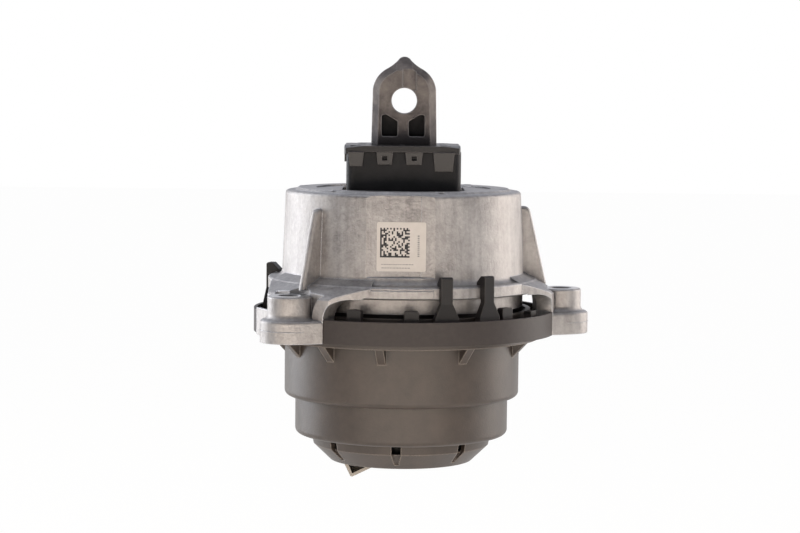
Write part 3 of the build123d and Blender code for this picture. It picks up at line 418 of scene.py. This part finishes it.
# Milled aluminium: the bosses and feet are faced after casting, and the cutter leaves rings, drawn
# 0.55 mm apart so that they show. The eye gets bright ringed discs with a faint smear of 1.4 mm.
milled, tree, shader, point = finish_of("milled aluminium", 1.0, 0.3)
smear = add_node(tree, "ShaderNodeTexNoise", {"Scale": per_metre(1.4), "Detail": 4.0}, {"Vector": point})
tint(tree, shader, smear.outputs[0], "#d4d3d1", "#bcbab8")

foot_azimuths = [math.radians(turn) for turn in (-43.0, 90.0, 203.5)]
bolt_circle = 0.0685
boss_top = -0.0804
foot_face = -0.0996
seat_bore = 0.0050
seat_reach = 0.0083
seat_rings = 6
seat_proud = 0.00006
tool_mark = 0.00003
seat_steps = 64
foot_places = [
    Vector((bolt_circle * math.sin(turn), -bolt_circle * math.cos(turn), 0)) for turn in foot_azimuths
]
seats = bmesh.new()
ring_pitch = (seat_reach - seat_bore) / (2 * seat_rings)
for height, side in ((boss_top, 1), (foot_face, -1)):
    outline = [(seat_bore, height - side * seat_proud)]
    for place in range(2 * seat_rings + 1):
        rise = seat_proud - tool_mark * (place % 2)
        outline.append((seat_bore + place * ring_pitch, height + side * rise))
    outline.append((seat_reach, height - side * seat_proud))
    for centre in foot_places:
        spin_outline(seats, outline, centre, 0, 2 * math.pi, seat_steps)
add_piece("faced_bolt_seats", seats, milled)

# The die's parting line runs round the feet at half their height, as a thin ridge
pad_reach = 0.0122
bead_height = -0.0946
bead_half = 0.00028
bead_proud = 0.00022
bead_turn = math.radians(190)
bead_steps = 40
beads = bmesh.new()
for turn, centre in zip(foot_azimuths, foot_places):
    outline = (
        (pad_reach - bead_proud, bead_height - bead_half),
        (pad_reach + bead_proud, bead_height - bead_half / 3),
        (pad_reach + bead_proud, bead_height + bead_half / 3),
        (pad_reach - bead_proud, bead_height + bead_half),
    )
    spin_outline(beads, outline, centre, turn - bead_turn / 2, bead_turn, bead_steps)
add_piece("parting_beads", beads, cast)

# A plain raised plate on the flange's rim in front, and the stub of the sawn gate behind
flange_reach = 0.0583
plate_proud = 0.00050
plate_low = -0.0811
plate_high = -0.0770
plate_span = (math.radians(-15.0), math.radians(12.7))
gate_span = (math.radians(152.0), math.radians(166.0))
plate_steps = 24
plates = bmesh.new()
for first, last in (plate_span, gate_span):
    outline = (
        (flange_reach - plate_proud, plate_low),
        (flange_reach + plate_proud, plate_low + plate_proud),
        (flange_reach + plate_proud, plate_high - plate_proud),
        (flange_reach - plate_proud, plate_high),
    )
    spin_outline(plates, outline, (0, 0, 0), first, last - first, plate_steps)
add_piece("flange_plates", plates, cast)

# Round marks that the ejector pins left on the rim
rim_height = -0.0375
pin_circle = 0.0440
pin_radius = 0.0021
pin_proud = 0.00014
pin_count = 6
pin_first = math.radians(20)
pin_sides = 28
pins = bmesh.new()
for place in range(pin_count):
    turn = pin_first + place * 2 * math.pi / pin_count
    bmesh.ops.create_cone(
        pins, cap_ends=True, segments=pin_sides, radius1=pin_radius, radius2=pin_radius - pin_proud,
        depth=2 * pin_proud,
        matrix=Matrix.Translation((pin_circle * math.sin(turn), -pin_circle * math.cos(turn), rim_height)),
    )
add_piece("rim_ejector_marks", pins, cast)

# Arm
# A second aluminium casting, duller than the housing, with its die skin left as it is.
# Its cone is bonded into the rubber spring, and the engine bracket bolts to its bore.

# As-cast aluminium: patches of 6.7 mm in the die skin, and pits drawn at 0.8 mm so that they
# show. The eye gets a dull grey, darker and browner than the housing's.
arm_cast, tree, shader, point = finish_of("dull as-cast aluminium", 0.6, 0.45)
skin = add_node(
    tree, "ShaderNodeTexNoise",
    {"Scale": per_metre(6.7), "Detail": 8.0, "Roughness": 0.7}, {"Vector": point},
)
skin_range = add_node(
    tree, "ShaderNodeMapRange", {"From Min": 0.36, "From Max": 0.66}, {"Value": skin.outputs[0]}
)
mix = tint(tree, shader, skin_range.outputs[0], "#7d7671", "#504b4a")
# The arm darkens from just below its bore down to its foot
shade_top = -0.001
shade_foot = -0.016
arm_height = add_node(tree, "ShaderNodeSeparateXYZ", {}, {0: point})
foot_shade = add_node(
    tree, "ShaderNodeMapRange",
    {"From Min": shade_top, "From Max": shade_foot, "To Min": 0.0, "To Max": 0.8},
    {"Value": arm_height.outputs["Z"]},
)
shaded = add_node(
    tree, "ShaderNodeMix", {"data_type": "RGBA", 7: linear("#383437")},
    {0: foot_shade.outputs[0], 6: mix.outputs[2]},
)
soft_normal, edge = rounded(tree, radius=0.0008)
# Wear and a painted highlight on the sharp edges
worn_and_lit = wear_and_edge_highlight(tree, shader, shaded, edge, "#b4b0ae", strength=0.8)
# Painted shade in the arm's pockets and hollows
paint_hollow_shade(tree, shader, worn_and_lit, "#121113", reach=0.009, strength=1.0)
pits = add_node(tree, "ShaderNodeTexNoise", {"Scale": per_metre(0.8), "Detail": 3.0}, {"Vector": point})
roughen(tree, shader, soft_normal, ((skin.outputs[0], 0.45, 0.0006), (pits.outputs[0], 0.3, 0.0001)))
dress("core_arm", arm_cast)

# Rubber
# The travel stop, the spring cone, the membrane, the bellows and the plunger's seal are moulded
# rubber. It is black with a faint grey bloom and a dull gloss.

# Natural rubber with carbon black: a bloom in patches of 8 mm, and pores drawn at 0.7 mm so that
# they show. The eye gets almost no colour and a broad dull gloss.
rubber, tree, shader, point = finish_of("moulded natural rubber", 0.0, 0.5)
shader.inputs["Specular IOR Level"].default_value = 0.32
bloom = add_node(tree, "ShaderNodeTexNoise", {"Scale": per_metre(8), "Detail": 5.0}, {"Vector": point})
bloom_range = add_node(
    tree, "ShaderNodeMapRange", {"From Min": 0.35, "From Max": 0.7}, {"Value": bloom.outputs[0]}
)
tint(tree, shader, bloom_range.outputs[0], "#1b1a1d", "#101012")
pores = add_node(tree, "ShaderNodeTexNoise", {"Scale": per_metre(0.7), "Detail": 2.0}, {"Vector": point})
soft_normal = rounded(tree, radius=0.0008)[0]
roughen(tree, shader, soft_normal, ((pores.outputs[0], 0.2, 0.00015),))
for node in ("stop_block", "main_spring", "idle_membrane", "bellows", "plunger_seal"):
    dress(node, rubber)

# Cap of the travel stop
# A plate of moulded satin polyamide that sits on the rubber block, with tabs hanging over the
# block's front and back. Its gate and ejector marks are left on.

# Satin polyamide: a spark-eroded grain, drawn at 1.1 mm so that it shows. The eye gets a dark
# warm grey, with edges lightened by wear and a painted highlight.
cap_plastic, tree, shader, point = finish_of("moulded satin polyamide", 0.0, 0.38)
grain = add_node(tree, "ShaderNodeTexNoise", {"Scale": per_metre(1.1), "Detail": 4.0}, {"Vector": point})
mix = tint(tree, shader, grain.outputs[0], "#242120", "#181616")
soft_normal, edge = rounded(tree, radius=0.0006)
# Wear and a painted highlight on the sharp edges
worn_and_lit = wear_and_edge_highlight(tree, shader, mix, edge, "#716d6c", strength=0.7)
# Painted shade in the hollows
paint_hollow_shade(tree, shader, worn_and_lit, "#121112", reach=0.004, strength=0.9)
roughen(tree, shader, soft_normal, ((grain.outputs[0], 0.2, 0.0001),))
dress("stop_cap", cap_plastic)

# Two gates and four ejector marks on the plate's top
cap_low, cap_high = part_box("stop_cap")
gate_radius = 0.0011
gate_proud = 0.00025
gate_along = 0.0150
mark_radius = 0.0017
mark_proud = 0.00010
mark_across = 0.0175
mark_along = 0.0120
mark_sides = 24
cap_marks = bmesh.new()
cap_centre = (cap_low + cap_high) / 2
for across, along, radius, proud in (
    (0.0, gate_along, gate_radius, gate_proud),
    (0.0, -gate_along, gate_radius, gate_proud),
    (mark_across, mark_along, mark_radius, mark_proud),
    (mark_across, -mark_along, mark_radius, mark_proud),
    (-mark_across, mark_along, mark_radius, mark_proud),
    (-mark_across, -mark_along, mark_radius, mark_proud),
):
    bmesh.ops.create_cone(
        cap_marks, cap_ends=True, segments=mark_sides, radius1=radius, radius2=radius - proud / 2,
        depth=2 * proud,
        matrix=Matrix.Translation((cap_centre.x + across, cap_centre.y + along, cap_high.z)),
    )
add_piece("cap_marks", cap_marks, cap_plastic)

# Clip ring
# A moulded ring of glass-filled polyamide, with skirts that fill the three arches between the
# feet. Its clips hook over the flange of the housing.

# Black polyamide with glass fibre: clouds of 2 mm, which the eye gets as an uneven satin black
ring_plastic, tree, shader, point = finish_of("glass-filled black polyamide", 0.0, 0.5)
shader.inputs["Specular IOR Level"].default_value = 0.45
fibre = add_node(
    tree, "ShaderNodeTexNoise", {"Scale": per_metre(2), "Detail": 6.0, "Roughness": 0.7}, {"Vector": point}
)
mix = tint(tree, shader, fibre.outputs[0], "#3f3733", "#2a2422")
# Painted shade: the clips and posts above the skirt, under the flange's overhang, are darkened to near
# black
skirt_top = -0.0897
skirt_edge = 0.0008
ring_height = add_node(tree, "ShaderNodeSeparateXYZ", {}, {0: point})
under_flange_mask = add_node(
    tree, "ShaderNodeMapRange",
    {"From Min": skirt_top, "From Max": skirt_top + skirt_edge, "To Min": 0.0, "To Max": 0.85},
    {"Value": ring_height.outputs["Z"]},
)
flange_shade = add_node(
    tree, "ShaderNodeMix", {"data_type": "RGBA", 7: linear("#111011")},
    {0: under_flange_mask.outputs[0], 6: mix.outputs[2]},
)
soft_normal, edge = rounded(tree, radius=0.0005)
# Wear and a painted highlight on the sharp edges
worn_and_lit = wear_and_edge_highlight(tree, shader, flange_shade, edge, "#5f5854", strength=0.6)
# Painted shade in the hollows and gaps
paint_hollow_shade(tree, shader, worn_and_lit, "#141213", reach=0.005, strength=0.9)
roughen(tree, shader, soft_normal, ((fibre.outputs[0], 0.25, 0.00015),))
dress("clip_ring", ring_plastic)

# Pot
# The moulded cover of the solenoid, in grey-brown glass-filled polyamide, stepped inwards
# towards its foot. The coil's bobbin inside is moulded of the same.

# Grey-brown polyamide with glass fibre: clouds of 12 mm where the melt flowed, and a speckle of
# fibres, drawn at 0.7 mm so that it shows. The eye gets a warm, cloudy, satin grey.
pot_plastic, tree, shader, point = finish_of("glass-filled grey polyamide", 0.0, 0.42)
shader.inputs["Specular IOR Level"].default_value = 0.65
fleck = add_node(
    tree, "ShaderNodeTexNoise", {"Scale": per_metre(12), "Detail": 8.0, "Roughness": 0.7}, {"Vector": point}
)
fleck_range = add_node(
    tree, "ShaderNodeMapRange", {"From Min": 0.3, "From Max": 0.7}, {"Value": fleck.outputs[0]}
)
mix = tint(tree, shader, fleck_range.outputs[0], "#483d34", "#372d25")
speck = add_node(tree, "ShaderNodeTexNoise", {"Scale": per_metre(0.7), "Detail": 3.0}, {"Vector": point})
soft_normal, edge = rounded(tree, radius=0.0008)
# Wear and a painted highlight on the sharp edges
worn_and_lit = wear_and_edge_highlight(tree, shader, mix, edge, "#a89c90", strength=0.8)
# Painted shade in the hollows and under the skirt's overhang
paint_hollow_shade(tree, shader, worn_and_lit, "#25211f", reach=0.016, strength=0.75)
roughen(tree, shader, soft_normal, ((speck.outputs[0], 0.3, 0.0002),))
for node in ("pot", "coil_bobbin"):
    dress(node, pot_plastic)

# On the pot's floor: the gate's stub in a shallow ring, a bare round insert, and ejector marks
pot_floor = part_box("pot")[0].z
stub_bore = 0.0012
stub_crown = 0.0016
stub_reach = 0.0021
stub_sunk = 0.0004
stub_bore_proud = 0.0005
stub_crown_proud = 0.0006
stub_edge_proud = 0.0004
stub_outline = (
    (stub_bore, pot_floor + stub_sunk),
    (stub_bore, pot_floor - stub_bore_proud),
    (stub_crown, pot_floor - stub_crown_proud),
    (stub_reach, pot_floor - stub_edge_proud),
    (stub_reach, pot_floor + stub_sunk),
)
band_sunk = 0.0003
floor_steps = 40
pot_axis = Vector((0, 0, 0))
insert_place = Vector((0.0165, 0.0120, 0))
floor_marks = bmesh.new()
spin_outline(floor_marks, stub_outline, pot_axis, 0, 2 * math.pi, floor_steps)
# The ring round the stub and the edge of the insert, by radii, height and place
for inner, outer, proud, centre in (
    (0.0052, 0.0060, 0.00018, pot_axis),
    (0.0034, 0.0039, 0.00015, insert_place),
):
    outline = (
        (inner, pot_floor + band_sunk),
        (inner, pot_floor - proud),
        (outer, pot_floor - proud),
        (outer, pot_floor + band_sunk),
    )
    spin_outline(floor_marks, outline, centre, 0, 2 * math.pi, floor_steps)
floor_pin_circle = 0.0235
floor_pin_radius = 0.0018
floor_pin_proud = 0.00012
floor_pin_sides = 24
floor_pin_azimuths = (20, 95, 160, 250)
for degrees in floor_pin_azimuths:
    turn = math.radians(degrees)
    bmesh.ops.create_cone(
        floor_marks, cap_ends=True, segments=floor_pin_sides,
        radius1=floor_pin_radius - floor_pin_proud, radius2=floor_pin_radius, depth=2 * floor_pin_proud,
        matrix=Matrix.Translation(
            (floor_pin_circle * math.sin(turn), -floor_pin_circle * math.cos(turn), pot_floor)
        ),
    )
add_piece("pot_floor_marks", floor_marks, pot_plastic)

# Connector
# A shroud of pale moulded polyamide that stands under the pot, round two contact blades.
# It carries the solenoid's current.

# Natural polyamide, moulded and unpainted: a haze of 2.5 mm, which the eye gets as a pale warm grey
socket_plastic, tree, shader, point = finish_of("natural polyamide", 0.0, 0.42)
haze = add_node(tree, "ShaderNodeTexNoise", {"Scale": per_metre(2.5), "Detail": 4.0}, {"Vector": point})
tint(tree, shader, haze.outputs[0], "#aea9a0", "#979188")
dress("connector_socket", socket_plastic)

# Steel and copper inside
# The spring's sleeve, the bellows' ring, the contact blades and most of the solenoid's parts are
# bare drawn or turned steel. The solenoid's yoke is phosphated, and its winding is enamelled copper.

# Turned steel: feed marks round the axis, drawn at 0.4 mm so that they show. The eye gets a fine
# silky sheen.
steel, tree, shader, point = finish_of("bare turned steel", 1.0, 0.32)
feed_scale = (per_metre(17), per_metre(17), per_metre(0.4))
turning = add_node(tree, "ShaderNodeMapping", {"Scale": feed_scale}, {"Vector": point})
rings = add_node(tree, "ShaderNodeTexNoise", {"Scale": 1.0, "Detail": 3.0}, {"Vector": turning.outputs[0]})
tint(tree, shader, rings.outputs[0], "#b4b4b3", "#979797")
ring_bump = add_node(
    tree, "ShaderNodeBump", {"Strength": 0.3, "Distance": 0.00008}, {"Height": rings.outputs[0]}
)
tree.links.new(ring_bump.outputs[0], shader.inputs["Normal"])
for node in (
    "spring_sleeve", "bellows_ring", "guide_tube", "flux_washer", "pole_core",
    "plunger", "plunger_spring", "solenoid_screws", "connector_pins",
):
    dress(node, steel)

# Phosphated steel: a bloom of crystals, drawn at 1.4 mm so that it shows. The eye gets a matt, near
# black grey through the slots in the pot's foot, behind which the yoke stands.
phosphate, tree, shader, point = finish_of("phosphated drawn steel", 0.3, 0.65)
crystals = add_node(tree, "ShaderNodeTexNoise", {"Scale": per_metre(1.4), "Detail": 4.0}, {"Vector": point})
tint(tree, shader, crystals.outputs[0], "#343435", "#222223")
dress("solenoid_yoke", phosphate)

# The spring in the plunger's foot shortens as the plunger comes down. A welded copy of its solid
# stands in for it, and the original is hidden
weld_reach = 0.000001
coil = bmesh.new()
coil.from_mesh(nodes["plunger_spring"].data)
bmesh.ops.remove_doubles(coil, verts=coil.verts, dist=weld_reach)
coil_mesh = bpy.data.meshes.new("spring_coil")
coil.to_mesh(coil_mesh)
coil.free()
coil_mesh.materials.clear()
coil_mesh.materials.append(steel)
spring_coil = bpy.data.objects.new("spring_coil", coil_mesh)
bpy.context.collection.objects.link(spring_coil)
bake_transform(spring_coil)
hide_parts("plunger_spring")

# Enamelled copper: layers of fine wire, drawn as stripes of 0.8 mm so that they show. A wave repeats
# 3.2 times in the width that its scale gives, here 2.5 mm. The eye gets a glossy brown red.
copper, tree, shader, point = finish_of("enamelled copper wire", 0.9, 0.3)
winding = add_node(
    tree, "ShaderNodeTexWave", {"bands_direction": "Z", "Scale": per_metre(2.5), "Distortion": 0.4},
    {"Vector": point},
)
tint(tree, shader, winding.outputs[1], "#bf7042", "#86492a")
dress("coil_winding", copper)

# Label
# A square of white printed film on the front facet. The print is a plain dot code and two
# rules that stand for no real text.

# Coated polyester film: a haze of 3.3 mm, which the eye gets as an even, slightly warm white
film, tree, shader, point = finish_of("white label film", 0.0, 0.38)
paper = add_node(tree, "ShaderNodeTexNoise", {"Scale": per_metre(3.3), "Detail": 3.0}, {"Vector": point})
tint(tree, shader, paper.outputs[0], "#cfc9c2", "#c0bab2")
dress("code_label", film)

# Resin ribbon print, streaked at 1.1 mm: the eye gets near black on the code, and a pale grey on
# the rules, where the print is thin
ink, tree, shader, point = finish_of("thermal transfer print", 0.0, 0.5)
streak = add_node(tree, "ShaderNodeTexNoise", {"Scale": per_metre(1.1), "Detail": 2.0}, {"Vector": point})
tint(tree, shader, streak.outputs[0], "#343336", "#1f1e21")
pale_ink, tree, shader, point = finish_of("thin thermal transfer print", 0.0, 0.5)
streak = add_node(tree, "ShaderNodeTexNoise", {"Scale": per_metre(1.1), "Detail": 2.0}, {"Vector": point})
tint(tree, shader, streak.outputs[0], "#9b9997", "#7c7a78")

# The label lies on the leaning facet, so the print's frame comes from the label's front face
label_low, label_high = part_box("code_label")
label_mesh = nodes["code_label"].data
front_face = max(label_mesh.polygons, key=lambda face: -face.normal.y * face.area)
outwards = front_face.normal.copy()
across = Vector((0, 0, 1)).cross(outwards).normalized()
upwards = outwards.cross(across)
middle = (label_low + label_high) / 2
middle += outwards * (label_mesh.vertices[front_face.vertices[0]].co - middle).dot(outwards)
label_place = Matrix.Translation(middle) @ Matrix((across, upwards, outwards)).transposed().to_4x4()
label_half = (label_high.x - label_low.x) / 2
ink_height = 0.00003


def print_bar(shell, left, top, width, height):
    """A raised bar of print, placed from the label's top left corner."""
    bmesh.ops.create_cube(shell, size=1, matrix=(
        label_place
        @ Matrix.Translation((left + width / 2 - label_half, label_half - top - height / 2, 0))
        @ Matrix.Diagonal((width, height, 2 * ink_height, 1))
    ))


# The code: a square of seeded random cells inside two solid and two broken edges
cells = 18
code_left = 0.0014
code_top = 0.0024
code_width = 0.01225
dark_share = 0.5
cell = code_width / cells
draw = random.Random(41)
code = bmesh.new()
for row in range(cells):
    dark = []
    for column in range(cells):
        if column == 0 or row == cells - 1:
            dark.append(True)
        elif row == 0:
            dark.append(column % 2 == 0)
        elif column == cells - 1:
            dark.append(row % 2 == 1)
        else:
            dark.append(draw.random() < dark_share)
    column = 0
    while column < cells:
        run = 0
        while column + run < cells and dark[column + run]:
            run += 1
        if run:
            print_bar(code, code_left + column * cell, code_top + row * cell, run * cell, cell)
        column += run + 1
add_piece("label_code", code, ink)

# The rules: rows of plain dashes below the code, and one column beside it
dash_height = 0.00034
dash_gap = 0.00022
shortest_dash = 0.0003
longest_dash = 0.0011
rule_left = 0.0020
rule_tops = (0.01735, 0.01880)
rule_ends = (0.0150, 0.0132)
column_left = 0.0169
column_width = 0.0008
column_top = 0.0054
column_foot = 0.0143
column_gap = 1.5 * dash_gap
longest_column_dash = 0.0007
rules = bmesh.new()
for rule_top, rule_end in zip(rule_tops, rule_ends):
    left = rule_left
    while left < rule_end:
        dash = draw.uniform(shortest_dash, longest_dash)
        print_bar(rules, left, rule_top, dash, dash_height)
        left += dash + dash_gap
top = column_top
while top < column_foot:
    dash = draw.uniform(shortest_dash, longest_column_dash)
    print_bar(rules, column_left, top, column_width, dash)
    top += dash + column_gap
add_piece("label_rules", rules, pale_ink)
